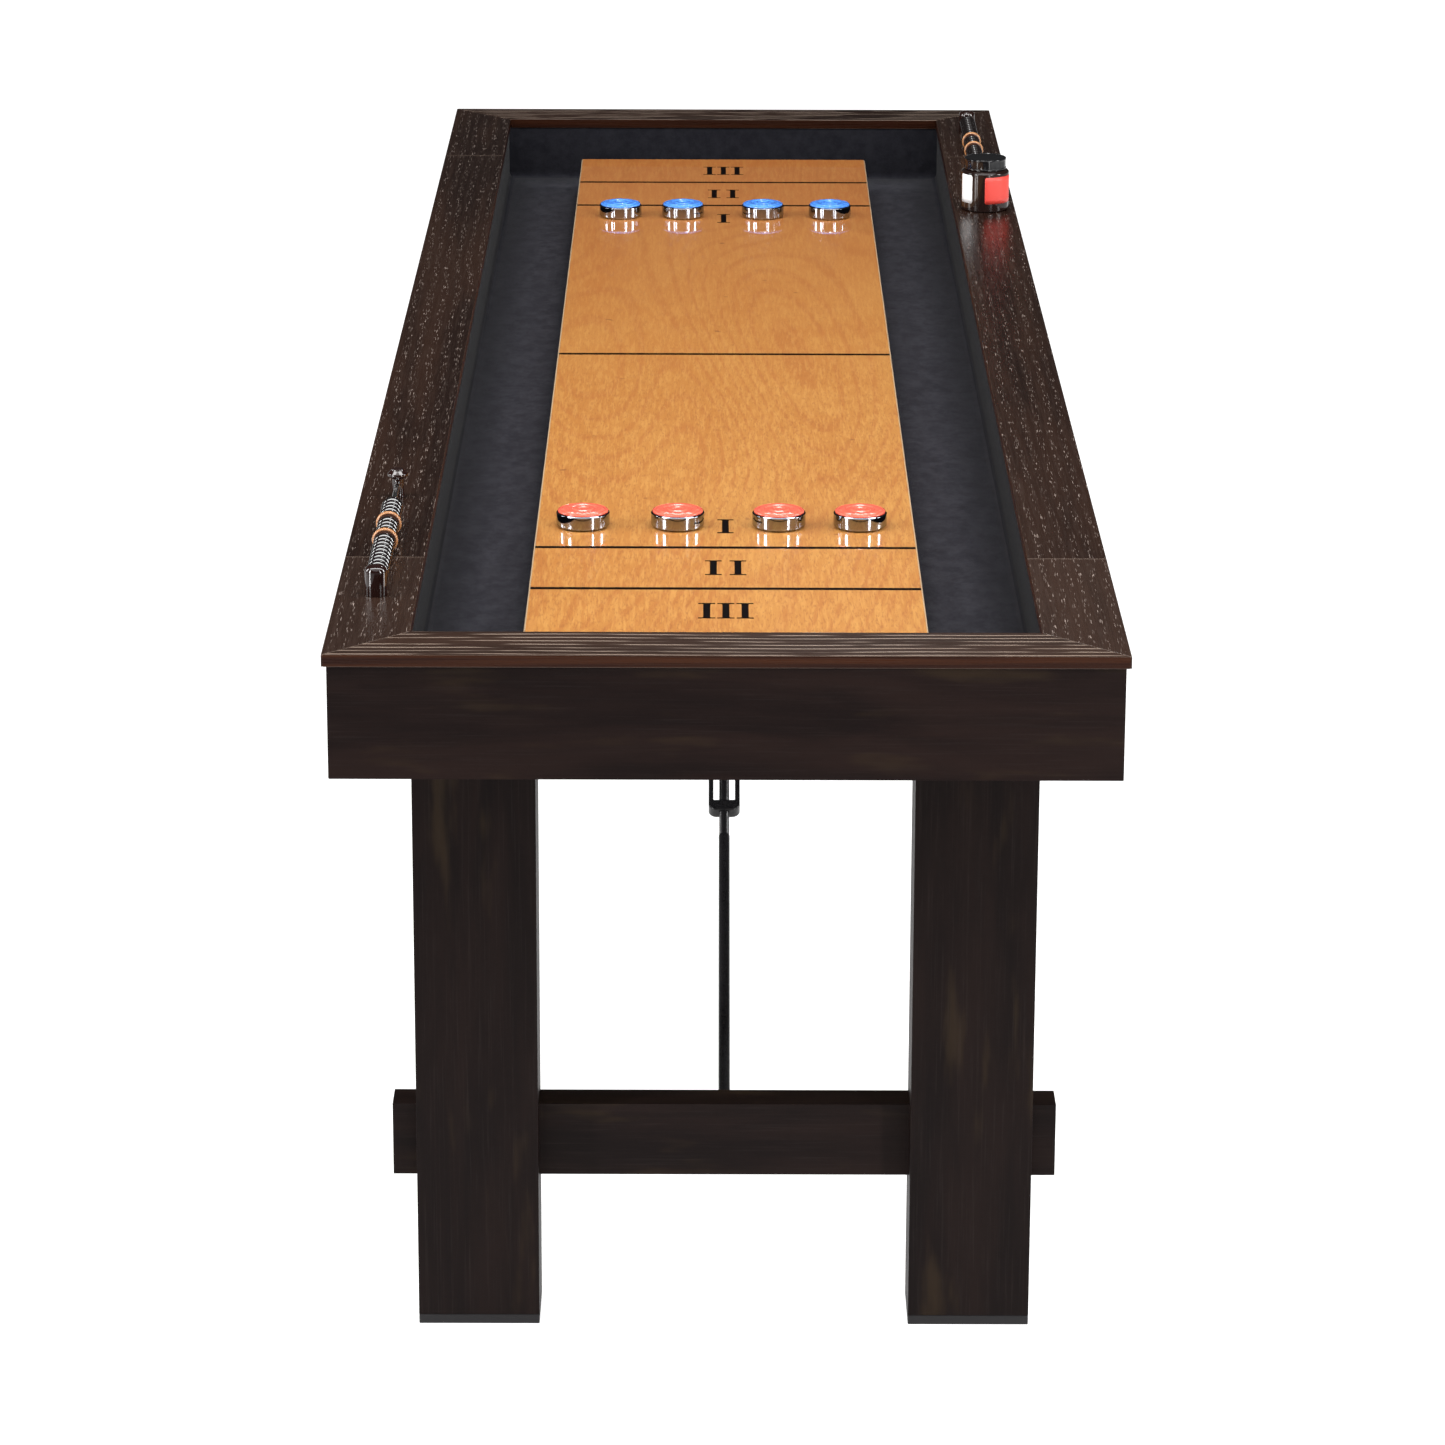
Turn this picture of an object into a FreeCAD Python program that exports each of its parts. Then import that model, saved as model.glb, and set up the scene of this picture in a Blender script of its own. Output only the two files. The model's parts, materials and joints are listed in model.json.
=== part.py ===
import FreeCAD, Part
import math
import os

# Shuffleboard table with two bead scorers, eight pucks and a jar of powder wax.
# Millimetres. X runs across the table, Y along it, Z up. The origin is on the floor, under the
# middle of the table. "Front" is the end at -Y, "left" is the side at -X.

V = FreeCAD.Vector
ORIGIN = V(0, 0, 0)
AXIS_X = V(1, 0, 0)
AXIS_Y = V(0, 1, 0)
AXIS_Z = V(0, 0, 1)

# Whole table
LENGTH = 2743.0
WIDTH = 762.0
HEIGHT = 762.0

# Flat rail frame on top of the cabinet
RAIL_THICK = 12.0
RAIL_WIDTH = 79.4
RAIL_SEAM_Y = 1028.0          # the side rails are veneered in three lengths
RAIL_TOP = HEIGHT
RAIL_BOTTOM = RAIL_TOP - RAIL_THICK

# Cabinet under the rails
RAIL_OVERHANG = 4.5
APRON_THICK = 18.0
APRON_HEIGHT = 112.0
CORNER_BLOCK_LEG = 60.0
CORNER_BLOCK_HEIGHT = 24.0

# Felt-lined gutter
GUTTER_WALL_SETBACK = 1.9     # from the rail's inner edge
GUTTER_WALL_THICK = 12.0
GUTTER_FLOOR_THICK = 12.0
GUTTER_FLOOR_TOP = 678.5

# Playing board
BOARD_LENGTH = 2360.0
BOARD_WIDTH = 395.6
BOARD_THICK = 38.0
BOARD_TOP = 727.5
BOARD_CHAMFER = 1.5
CLEAT_LENGTH = 330.0
CLEAT_WIDTH = 60.0
CLEAT_COUNT = 7
CLEAT_SPACING = 360.0

# Legs, feet and stretchers
LEG_WIDTH = 122.0
LEG_DEPTH = 82.0
LEG_CENTRE_X = 247.7
LEG_CENTRE_Y = 1146.4
FOOT_HEIGHT = 10.0
STRETCHER_LENGTH = 668.0
STRETCHER_HEIGHT = 76.0
STRETCHER_THICK = 40.0
STRETCHER_BOTTOM = 152.0
STRETCHER_SETBACK = 28.0      # from the leg's outer face

# Bearers between the legs and the cabinet, and the bolts that hold them
BEARER_THICK = 20.0
LEG_BEARER_DEPTH = 150.0
CENTRE_BEARER_DEPTH = 220.0
BOLT_R = 4.0
BOLT_HEAD_HEIGHT = 5.5
BOLT_HEAD_FLATS = 13.0
BOLT_BITE = 10.0              # how far a bolt goes into the gutter floor
LEG_BOLT_X = (334.0, 120.0)
CENTRE_BOLT_X = (300.0, 120.0)

# Diagonal tie rods, one from each stretcher up to the middle of the cabinet
ROD_R = 6.0
STUD_R = 5.0
STUD_SHOWN = 38.0             # thread left bare between the rod and the turnbuckle
STUD_INSIDE = 46.0            # thread that reaches past the boss into the window
EYE_R = 11.0
EYE_THICK = 12.0
ROD_FOOT_Z = 190.0
ROD_HEAD_Y = 60.0
PIN_STANDOFF = 18.0
PLATE_THICK = 4.0
PLATE_WIDTH = 46.0
PLATE_LENGTH = 60.0
EAR_THICK = 4.0
EAR_GAP = 12.4
NUT_HEIGHT = 6.5
SCREW_R = 2.5
SCREW_LENGTH = 18.0
SCREW_HEAD_R = 4.5
SCREW_HEAD_HEIGHT = 3.0
SCREW_SPREAD = 22.0

# Turnbuckles
TURNBUCKLE_START = 0.418      # along the rod line, from its foot to its head
TURNBUCKLE_LENGTH = 150.0
TURNBUCKLE_WIDTH = 34.0
TURNBUCKLE_THICK = 13.0
TURNBUCKLE_BOSS = 15.0
TURNBUCKLE_BAR = 5.2
TURNBUCKLE_CORNER = 9.0
TURNBUCKLE_ROUND = 2.0
THREAD_CLEARANCE = 0.08

# Bead scorers, one on each side rail
SCORER_SPAN = 373.0           # between the two posts
SCORER_PLACES = {"left": -1165.0, "right": 1208.0}
SCORER_ROD_R = 3.0
SCORER_ROD_HEIGHT = 15.0
POST_HEIGHT = 30.0
POST_R = 11.0
NECK_R = 6.0
KNOB_R = 10.5
KNOB_HEIGHT = 9.0
POST_ROUND = 2.5
ROD_SEAT = 5.0                # how far the scorer rod goes into each post
BEAD_PITCH = 12.8
BEAD_THICK = 12.4
BEAD_R = 11.0
MARKER_BEAD_R = 13.0
BEAD_ROUND = 4.5
BEAD_CLEARANCE = 0.1
BEAD_GROUPS = {"near": range(0, 10), "mid": range(10, 16), "far": range(16, 21)}
MARKER_BEADS = (10, 15)

# Pucks
PUCK_R = 28.0
PUCK_HEIGHT = 16.0
PUCK_BEVEL = 1.8
CAP_R = 25.6
CAP_SEAT = 2.5                # depth of the cap's recess in the puck
CAP_RISE = 3.6
CAP_ROUND = 1.2
PUCK_ROWS = {
    "red": (-779.0, (-149.0, -50.0, 56.0, 141.0)),
    "blue": (794.0, (-137.0, -54.0, 52.0, 141.0)),
}

# Jar of powder wax, standing on the right rail
JAR_Y = 684.0
JAR_R = 31.0
JAR_BODY_HEIGHT = 54.0
JAR_WALL = 2.0
JAR_SHOULDER = 8.0
JAR_FOOT_ROUND = 2.0
JAR_NECK_R = 24.0
JAR_NECK_HEIGHT = 8.0
LID_R = 27.0
LID_HEIGHT = 14.3
LID_TOP_THICK = 2.0
LID_CLEARANCE = 0.3
LID_ROUND = 1.5

# Levels and faces that follow from the sizes above
HALF_LENGTH = LENGTH / 2
HALF_WIDTH = WIDTH / 2
APRON_BOTTOM = RAIL_BOTTOM - APRON_HEIGHT
APRON_X = HALF_WIDTH - RAIL_OVERHANG
APRON_Y = HALF_LENGTH - RAIL_OVERHANG
CABINET_X = APRON_X - APRON_THICK
CABINET_Y = APRON_Y - APRON_THICK
GUTTER_X = HALF_WIDTH - RAIL_WIDTH + GUTTER_WALL_SETBACK
GUTTER_Y = HALF_LENGTH - RAIL_WIDTH + GUTTER_WALL_SETBACK
GUTTER_FLOOR_BOTTOM = GUTTER_FLOOR_TOP - GUTTER_FLOOR_THICK
BOARD_BOTTOM = BOARD_TOP - BOARD_THICK
LEG_TOP = GUTTER_FLOOR_BOTTOM - BEARER_THICK
STRETCHER_OUTER_Y = LEG_CENTRE_Y + LEG_DEPTH / 2 - STRETCHER_SETBACK
STRETCHER_INNER_Y = STRETCHER_OUTER_Y - STRETCHER_THICK
SCORER_X = HALF_WIDTH - RAIL_WIDTH / 2
SCORER_ROD_Z = RAIL_TOP + SCORER_ROD_HEIGHT
ROD_FOOT = V(0, PIN_STANDOFF - STRETCHER_INNER_Y, ROD_FOOT_Z)
ROD_HEAD = V(0, -ROD_HEAD_Y, LEG_TOP - PIN_STANDOFF)
ROD_LINE = ROD_HEAD - ROD_FOOT
TURNBUCKLE_FOOT = TURNBUCKLE_START * ROD_LINE.Length


def block(x_range, y_range, z_range):
    """A box between two values on each axis, in either order."""
    lows = [min(pair) for pair in (x_range, y_range, z_range)]
    sizes = [abs(pair[1] - pair[0]) for pair in (x_range, y_range, z_range)]
    return Part.makeBox(*sizes, V(*lows))


def rod(radius, start, end):
    """A round bar from one point to another."""
    line = end - start
    return Part.makeCylinder(radius, line.Length, start, line)


def turned(radii_and_heights, centre, axis=AXIS_Z):
    """A solid turned about an axis through centre, from (radius, height) points of its outline."""
    across = AXIS_X if axis == AXIS_Z else AXIS_Z
    points = [centre + across * radius + axis * height for radius, height in radii_and_heights]
    face = Part.Face(Part.makePolygon(points + [points[0]]))
    return face.revolve(centre, axis, 360)


def plate(points, bottom, top):
    """A flat board with a polygonal outline."""
    corners = [V(x, y, bottom) for x, y in points]
    return Part.Face(Part.makePolygon(corners + [corners[0]])).extrude(V(0, 0, top - bottom))


def hexagon(flats, height, base, axis):
    """A hexagonal head or nut blank that stands on base along axis."""
    corner_r = flats / math.sqrt(3)
    corners = [V(corner_r * math.cos(math.radians(60 * i)), corner_r * math.sin(math.radians(60 * i)), 0)
               for i in range(6)]
    blank = Part.Face(Part.makePolygon(corners + [corners[0]])).extrude(V(0, 0, height))
    blank.Placement = FreeCAD.Placement(base, FreeCAD.Rotation(AXIS_Z, axis))
    return blank


def half_turn(shape):
    """The same piece at the other end of the table, turned about the vertical centre line."""
    copy = shape.copy()
    copy.rotate(ORIGIN, AXIS_Z, 180)
    return copy


def round_edges(shape, radius, wanted):
    """Fillets the edges for which wanted(edge) is true."""
    return shape.makeFillet(radius, [edge for edge in shape.Edges if wanted(edge)])


def is_circle(edge, radius, height):
    """Whether an edge is a circle of this radius at this height."""
    curve = edge.Curve
    return (isinstance(curve, Part.Circle) and abs(curve.Radius - radius) < 0.01
            and abs(curve.Center.z - height) < 0.01)


def save(name, *solids):
    """Writes one node: a single solid, or a group of separate solids."""
    shape = solids[0] if len(solids) == 1 else Part.makeCompound(list(solids))
    shape.exportStep("parts/" + name + ".step")


# ---- Rail frame -------------------------------------------------------------------------------

def end_rail():
    """Front rail, mitred at both ends."""
    inner_x = HALF_WIDTH - RAIL_WIDTH
    inner_y = HALF_LENGTH - RAIL_WIDTH
    outline = [(-HALF_WIDTH, -HALF_LENGTH), (HALF_WIDTH, -HALF_LENGTH),
               (inner_x, -inner_y), (-inner_x, -inner_y)]
    return plate(outline, RAIL_BOTTOM, RAIL_TOP)


def side_rail():
    """Left rail: a plain middle length between two mitred lengths."""
    inner_x = HALF_WIDTH - RAIL_WIDTH
    inner_y = HALF_LENGTH - RAIL_WIDTH
    middle = block((-HALF_WIDTH, -inner_x), (-RAIL_SEAM_Y, RAIL_SEAM_Y), (RAIL_BOTTOM, RAIL_TOP))
    lengths = [middle]
    for end in (-1, 1):
        outline = [(-HALF_WIDTH, end * RAIL_SEAM_Y), (-HALF_WIDTH, end * HALF_LENGTH),
                   (-inner_x, end * inner_y), (-inner_x, end * RAIL_SEAM_Y)]
        lengths.append(plate(outline, RAIL_BOTTOM, RAIL_TOP))
    return lengths


# ---- Cabinet ----------------------------------------------------------------------------------

def end_apron():
    """Front apron, which covers the ends of the side aprons."""
    return block((-APRON_X, APRON_X), (-APRON_Y, -CABINET_Y), (APRON_BOTTOM, RAIL_BOTTOM))


def side_apron():
    """Left apron."""
    return block((-APRON_X, -CABINET_X), (-CABINET_Y, CABINET_Y), (APRON_BOTTOM, RAIL_BOTTOM))


def gutter_floor():
    """Felt-covered floor of the cabinet, bored from below for the bearer bolts."""
    floor = block((-CABINET_X, CABINET_X), (-CABINET_Y, CABINET_Y),
                  (GUTTER_FLOOR_BOTTOM, GUTTER_FLOOR_TOP))
    return floor.cut(Part.makeCompound(bolt_holes()))


def gutter_side_wall():
    """Left felt-covered wall, as long as the cabinet's inside between the end walls' backs."""
    back = GUTTER_X + GUTTER_WALL_THICK
    end = GUTTER_Y + GUTTER_WALL_THICK
    return block((-back, -GUTTER_X), (-end, end), (GUTTER_FLOOR_TOP, RAIL_BOTTOM))


def gutter_end_wall():
    """Front felt-covered wall, between the side walls."""
    return block((-GUTTER_X, GUTTER_X), (-GUTTER_Y - GUTTER_WALL_THICK, -GUTTER_Y),
                 (GUTTER_FLOOR_TOP, RAIL_BOTTOM))


def corner_blocks():
    """Triangular glue blocks in the cabinet's four lower corners."""
    blocks = []
    for side in (-1, 1):
        for end in (-1, 1):
            outline = [(side * CABINET_X, end * CABINET_Y),
                       (side * (CABINET_X - CORNER_BLOCK_LEG), end * CABINET_Y),
                       (side * CABINET_X, end * (CABINET_Y - CORNER_BLOCK_LEG))]
            blocks.append(plate(outline, GUTTER_FLOOR_BOTTOM - CORNER_BLOCK_HEIGHT, GUTTER_FLOOR_BOTTOM))
    return blocks


# ---- Playing board ----------------------------------------------------------------------------

def playfield():
    """Playing board with its top edges and upright corners chamfered."""
    half_x = BOARD_WIDTH / 2
    half_y = BOARD_LENGTH / 2
    board = block((-half_x, half_x), (-half_y, half_y), (BOARD_BOTTOM, BOARD_TOP))
    eased = [edge for edge in board.Edges if edge.CenterOfMass.z > BOARD_BOTTOM + BOARD_CHAMFER]
    return board.makeChamfer(BOARD_CHAMFER, eased)


def playfield_cleats():
    """Cross cleats that carry the board above the gutter floor."""
    cleats = []
    for i in range(CLEAT_COUNT):
        y = (i - (CLEAT_COUNT - 1) / 2) * CLEAT_SPACING
        cleats.append(block((-CLEAT_LENGTH / 2, CLEAT_LENGTH / 2), (y - CLEAT_WIDTH / 2, y + CLEAT_WIDTH / 2),
                            (GUTTER_FLOOR_TOP, BOARD_BOTTOM)))
    return cleats


# ---- Legs, stretchers and bearers -------------------------------------------------------------

def leg_plan(side, end):
    """The X and Y ranges of one leg."""
    x = side * LEG_CENTRE_X
    y = end * LEG_CENTRE_Y
    return (x - LEG_WIDTH / 2, x + LEG_WIDTH / 2), (y - LEG_DEPTH / 2, y + LEG_DEPTH / 2)


def stretcher_blank():
    """Outside of the front stretcher, which is also the shape of its mortises."""
    return block((-STRETCHER_LENGTH / 2, STRETCHER_LENGTH / 2), (-STRETCHER_OUTER_Y, -STRETCHER_INNER_Y),
                 (STRETCHER_BOTTOM, STRETCHER_BOTTOM + STRETCHER_HEIGHT))


def leg(side, end):
    """One leg, with the mortise that the stretcher passes through."""
    x_range, y_range = leg_plan(side, end)
    through = stretcher_blank() if end < 0 else half_turn(stretcher_blank())
    return block(x_range, y_range, (FOOT_HEIGHT, LEG_TOP)).cut(through)


def foot_pad(side, end):
    """Pad with the leg's outline, between the leg and the floor."""
    x_range, y_range = leg_plan(side, end)
    return block(x_range, y_range, (0, FOOT_HEIGHT))


def stretcher():
    """Front stretcher, bored for the tie-rod bracket's screws."""
    return stretcher_blank().cut(Part.makeCompound([shank for shank, head in foot_bracket_screws()]))


def leg_bearer():
    """Board across the top of the two front legs."""
    board = block((-CABINET_X, CABINET_X),
                  (-LEG_CENTRE_Y - LEG_BEARER_DEPTH / 2, -LEG_CENTRE_Y + LEG_BEARER_DEPTH / 2),
                  (LEG_TOP, GUTTER_FLOOR_BOTTOM))
    return board.cut(Part.makeCompound(bolt_holes()))


def centre_bearer():
    """Board across the middle of the cabinet, which both tie rods pull on."""
    board = block((-CABINET_X, CABINET_X), (-CENTRE_BEARER_DEPTH / 2, CENTRE_BEARER_DEPTH / 2),
                  (LEG_TOP, GUTTER_FLOOR_BOTTOM))
    front = [shank for shank, head in head_bracket_screws()]
    back = [half_turn(shank) for shank in front]
    return board.cut(Part.makeCompound(bolt_holes() + front + back))


def bolt_places():
    """Where the bearer bolts stand, on the underside of the bearers."""
    leg_rows = [(side * x, end * LEG_CENTRE_Y) for end in (-1, 1) for x in LEG_BOLT_X for side in (-1, 1)]
    centre_row = [(side * x, 0) for x in CENTRE_BOLT_X for side in (-1, 1)]
    return [V(x, y, LEG_TOP) for x, y in leg_rows + centre_row]


def bolt_holes():
    """The bolts' shanks, through the bearers and part of the way into the gutter floor."""
    return [Part.makeCylinder(BOLT_R, BEARER_THICK + BOLT_BITE, place) for place in bolt_places()]


def bearer_bolts():
    """Hexagon-head bolts with their heads under the bearers."""
    heads = [hexagon(BOLT_HEAD_FLATS, BOLT_HEAD_HEIGHT, place, -AXIS_Z) for place in bolt_places()]
    return [head.fuse(shank).removeSplitter() for head, shank in zip(heads, bolt_holes())]


# ---- Tie rods ---------------------------------------------------------------------------------

def along_rod(shape):
    """Moves a piece built up the Z axis onto the front rod line, foot at the origin."""
    shape.Placement = FreeCAD.Placement(ROD_FOOT, FreeCAD.Rotation(AXIS_Z, ROD_LINE))
    return shape


def at_foot(shape):
    """Moves a piece built on the XY plane onto the front stretcher's inner face."""
    face_centre = V(0, -STRETCHER_INNER_Y, ROD_FOOT_Z)
    shape.Placement = FreeCAD.Placement(face_centre, FreeCAD.Rotation(AXIS_X, -90))
    return shape


def at_head(shape):
    """Moves a piece built on the XY plane onto the underside of the centre bearer."""
    shape.Placement = FreeCAD.Placement(V(0, -ROD_HEAD_Y, LEG_TOP), FreeCAD.Rotation(AXIS_X, 180))
    return shape


def bracket():
    """Plate with two ears for the rod's eye, on the XY plane; the pin lies along X."""
    body = block((-PLATE_WIDTH / 2, PLATE_WIDTH / 2), (-PLATE_LENGTH / 2, PLATE_LENGTH / 2), (0, PLATE_THICK))
    pin_centre = V(0, 0, PIN_STANDOFF)
    for side in (-1, 1):
        near = side * EAR_GAP / 2
        far = side * (EAR_GAP / 2 + EAR_THICK)
        body = body.fuse(block((near, far), (-EYE_R, EYE_R), (PLATE_THICK, PIN_STANDOFF)))
        body = body.fuse(rod(EYE_R, pin_centre + AXIS_X * near, pin_centre + AXIS_X * far))
    pin = rod(BOLT_R, pin_centre - AXIS_X * PLATE_WIDTH, pin_centre + AXIS_X * PLATE_WIDTH)
    return body.cut(Part.makeCompound([pin] + [shank for shank, head in plate_screws()])).removeSplitter()


def plate_screws():
    """Shank and head of each screw in a bracket's plate, at the bracket's own origin."""
    screws = []
    for end in (-1, 1):
        y = end * SCREW_SPREAD
        shank = rod(SCREW_R, V(0, y, PLATE_THICK - SCREW_LENGTH), V(0, y, PLATE_THICK))
        head = rod(SCREW_HEAD_R, V(0, y, PLATE_THICK), V(0, y, PLATE_THICK + SCREW_HEAD_HEIGHT))
        screws.append((shank, head))
    return screws


def foot_bracket_screws():
    """The screws of the bracket on the front stretcher."""
    return [(at_foot(shank), at_foot(head)) for shank, head in plate_screws()]


def head_bracket_screws():
    """The screws of the front rod's bracket on the centre bearer."""
    return [(at_head(shank), at_head(head)) for shank, head in plate_screws()]


def bracket_screws():
    """The front rod's four screws."""
    return [shank.fuse(head).removeSplitter() for shank, head in foot_bracket_screws() + head_bracket_screws()]


def pin_bolt():
    """Bolt and nut through a bracket's ears, at the bracket's own origin."""
    outer = EAR_GAP / 2 + EAR_THICK
    centre = V(0, 0, PIN_STANDOFF)
    end = centre + AXIS_X * (outer + NUT_HEIGHT)
    head = hexagon(BOLT_HEAD_FLATS, BOLT_HEAD_HEIGHT, centre - AXIS_X * outer, -AXIS_X)
    shank = rod(BOLT_R, centre - AXIS_X * outer, end)
    nut = hexagon(BOLT_HEAD_FLATS, NUT_HEIGHT, centre + AXIS_X * outer, AXIS_X)
    return [head.fuse(shank).removeSplitter(), nut.cut(shank)]


def eyed_rod(start, end, eye_at):
    """A rod with an eye at one end and a thread at the other, along Z."""
    shank = rod(ROD_R, V(0, 0, eye_at), V(0, 0, start))
    stud = rod(STUD_R, V(0, 0, start), V(0, 0, end))
    eye_centre = V(0, 0, eye_at)
    half = AXIS_X * (EYE_THICK / 2)
    eye = rod(EYE_R, eye_centre - half, eye_centre + half)
    hole = rod(BOLT_R, eye_centre - AXIS_X * EYE_R, eye_centre + AXIS_X * EYE_R)
    return shank.fuse([stud, eye]).cut(hole).removeSplitter()


def tie_rods():
    """The lower and the upper front rod, which meet inside the turnbuckle."""
    top = TURNBUCKLE_FOOT + TURNBUCKLE_LENGTH
    reach = TURNBUCKLE_BOSS + STUD_INSIDE
    lower = eyed_rod(TURNBUCKLE_FOOT - STUD_SHOWN, TURNBUCKLE_FOOT + reach, 0)
    upper = eyed_rod(top + STUD_SHOWN, top - reach, ROD_LINE.Length)
    return [along_rod(lower), along_rod(upper)]


def across_thickness(edge):
    """Whether an edge of the turnbuckle runs through its thickness."""
    return edge.Length > TURNBUCKLE_THICK / 2 and abs(edge.tangentAt(edge.FirstParameter).y) > 0.9


def turnbuckle():
    """Open-sided turnbuckle: two bosses joined by two bars, bored for the rods' threads."""
    low = TURNBUCKLE_FOOT
    high = low + TURNBUCKLE_LENGTH
    half_x = TURNBUCKLE_WIDTH / 2
    half_y = TURNBUCKLE_THICK / 2
    outside = block((-half_x, half_x), (-half_y, half_y), (low, high))
    outside = round_edges(outside, TURNBUCKLE_CORNER, across_thickness)
    outside = outside.makeFillet(TURNBUCKLE_ROUND, [edge for edge in outside.Edges if not across_thickness(edge)])
    window_x = half_x - TURNBUCKLE_BAR
    window = block((-window_x, window_x), (-TURNBUCKLE_THICK, TURNBUCKLE_THICK),
                   (low + TURNBUCKLE_BOSS, high - TURNBUCKLE_BOSS))
    window = round_edges(window, TURNBUCKLE_ROUND / 2, across_thickness)
    bore = rod(STUD_R + THREAD_CLEARANCE, V(0, 0, low), V(0, 0, high))
    return along_rod(outside.cut(window).cut(bore))


# ---- Bead scorers -----------------------------------------------------------------------------

def scorer_side(name):
    """X of a scorer, Y of its plain post, and +1 or -1 for the way its rod runs from there."""
    sign = -1 if name == "left" else 1
    return sign * SCORER_X, SCORER_PLACES[name], -sign


def scorer_rod(name):
    """Rod along the rail, seated a little way into both posts."""
    x, y, way = scorer_side(name)
    start = y + way * (POST_R - ROD_SEAT)
    end = y + way * (SCORER_SPAN - NECK_R + ROD_SEAT)
    return rod(SCORER_ROD_R, V(x, start, SCORER_ROD_Z), V(x, end, SCORER_ROD_Z))


def plain_post(name):
    """Cylindrical post at the beads' end, rounded at the top."""
    x, y, way = scorer_side(name)
    post = Part.makeCylinder(POST_R, POST_HEIGHT, V(x, y, RAIL_TOP))
    post = round_edges(post, POST_ROUND, lambda edge: is_circle(edge, POST_R, RAIL_TOP + POST_HEIGHT))
    return post.cut(scorer_rod(name))


def knob_post(name):
    """Slim post with a mushroom head at the free end of the rod."""
    x, y, way = scorer_side(name)
    base = V(x, y + way * SCORER_SPAN, RAIL_TOP)
    neck = Part.makeCylinder(NECK_R, POST_HEIGHT - KNOB_HEIGHT, base)
    head_base = RAIL_TOP + POST_HEIGHT - KNOB_HEIGHT
    head = Part.makeCylinder(KNOB_R, KNOB_HEIGHT, V(base.x, base.y, head_base))
    head = round_edges(head, POST_ROUND, lambda edge: isinstance(edge.Curve, Part.Circle))
    return neck.fuse(head).removeSplitter().cut(scorer_rod(name))


def bead(name, index):
    """One bead on its scorer's rod, counted from the plain post."""
    x, y, way = scorer_side(name)
    radius = MARKER_BEAD_R if index in MARKER_BEADS else BEAD_R
    start = y + way * (POST_R + 0.5 * (BEAD_PITCH - BEAD_THICK) + index * BEAD_PITCH)
    ring = rod(radius, V(x, start, SCORER_ROD_Z), V(x, start + way * BEAD_THICK, SCORER_ROD_Z))
    ring = round_edges(ring, BEAD_ROUND, lambda edge: isinstance(edge.Curve, Part.Circle))
    end = start + way * BEAD_THICK
    return ring.cut(rod(SCORER_ROD_R + BEAD_CLEARANCE, V(x, start, SCORER_ROD_Z), V(x, end, SCORER_ROD_Z)))


# ---- Pucks ------------------------------------------------------------------------------------

def puck(x, y):
    """Chromed weight with bevelled rims and a recess for its cap."""
    side = [(0, 0), (PUCK_R - PUCK_BEVEL, 0), (PUCK_R, PUCK_BEVEL), (PUCK_R, PUCK_HEIGHT - PUCK_BEVEL),
            (PUCK_R - PUCK_BEVEL, PUCK_HEIGHT), (CAP_R, PUCK_HEIGHT), (CAP_R, PUCK_HEIGHT - CAP_SEAT),
            (0, PUCK_HEIGHT - CAP_SEAT)]
    return turned(side, V(x, y, BOARD_TOP))


def puck_cap(x, y):
    """Plastic cap seated in the puck's recess."""
    base = BOARD_TOP + PUCK_HEIGHT - CAP_SEAT
    height = CAP_SEAT + CAP_RISE
    cap = Part.makeCylinder(CAP_R, height, V(x, y, base))
    return round_edges(cap, CAP_ROUND, lambda edge: is_circle(edge, CAP_R, base + height))


# ---- Jar --------------------------------------------------------------------------------------

def jar_body():
    """Round jar with a shoulder and a neck, open at the top."""
    neck_top = JAR_BODY_HEIGHT + JAR_NECK_HEIGHT
    side_top = JAR_BODY_HEIGHT - JAR_SHOULDER
    outline = [(0, 0), (JAR_R - JAR_FOOT_ROUND, 0), (JAR_R, JAR_FOOT_ROUND), (JAR_R, side_top),
               (JAR_NECK_R, JAR_BODY_HEIGHT), (JAR_NECK_R, neck_top),
               (JAR_NECK_R - JAR_WALL, neck_top), (JAR_NECK_R - JAR_WALL, JAR_BODY_HEIGHT - JAR_WALL),
               (JAR_R - JAR_WALL, side_top - JAR_WALL), (JAR_R - JAR_WALL, JAR_WALL), (0, JAR_WALL)]
    return turned(outline, V(SCORER_X, JAR_Y, RAIL_TOP))


def jar_lid():
    """Screw lid that covers the neck and stands just clear of the shoulder."""
    base = JAR_BODY_HEIGHT + LID_CLEARANCE
    top = base + LID_HEIGHT
    inner_r = JAR_NECK_R + LID_CLEARANCE
    outline = [(inner_r, base), (LID_R, base), (LID_R, top - LID_ROUND), (LID_R - LID_ROUND, top),
               (0, top), (0, top - LID_TOP_THICK), (inner_r, top - LID_TOP_THICK)]
    return turned(outline, V(SCORER_X, JAR_Y, RAIL_TOP))


# ---- Nodes ------------------------------------------------------------------------------------

def save_top():
    save("rail_front", end_rail())
    save("rail_back", half_turn(end_rail()))
    save("rail_left", *side_rail())
    save("rail_right", *[half_turn(length) for length in side_rail()])
    save("apron_front", end_apron())
    save("apron_back", half_turn(end_apron()))
    save("apron_left", side_apron())
    save("apron_right", half_turn(side_apron()))
    save("gutter_floor", gutter_floor())
    save("gutter_wall_front", gutter_end_wall())
    save("gutter_wall_back", half_turn(gutter_end_wall()))
    save("gutter_wall_left", gutter_side_wall())
    save("gutter_wall_right", half_turn(gutter_side_wall()))
    save("corner_blocks", *corner_blocks())
    save("playfield", playfield())
    save("playfield_cleats", *playfield_cleats())


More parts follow.
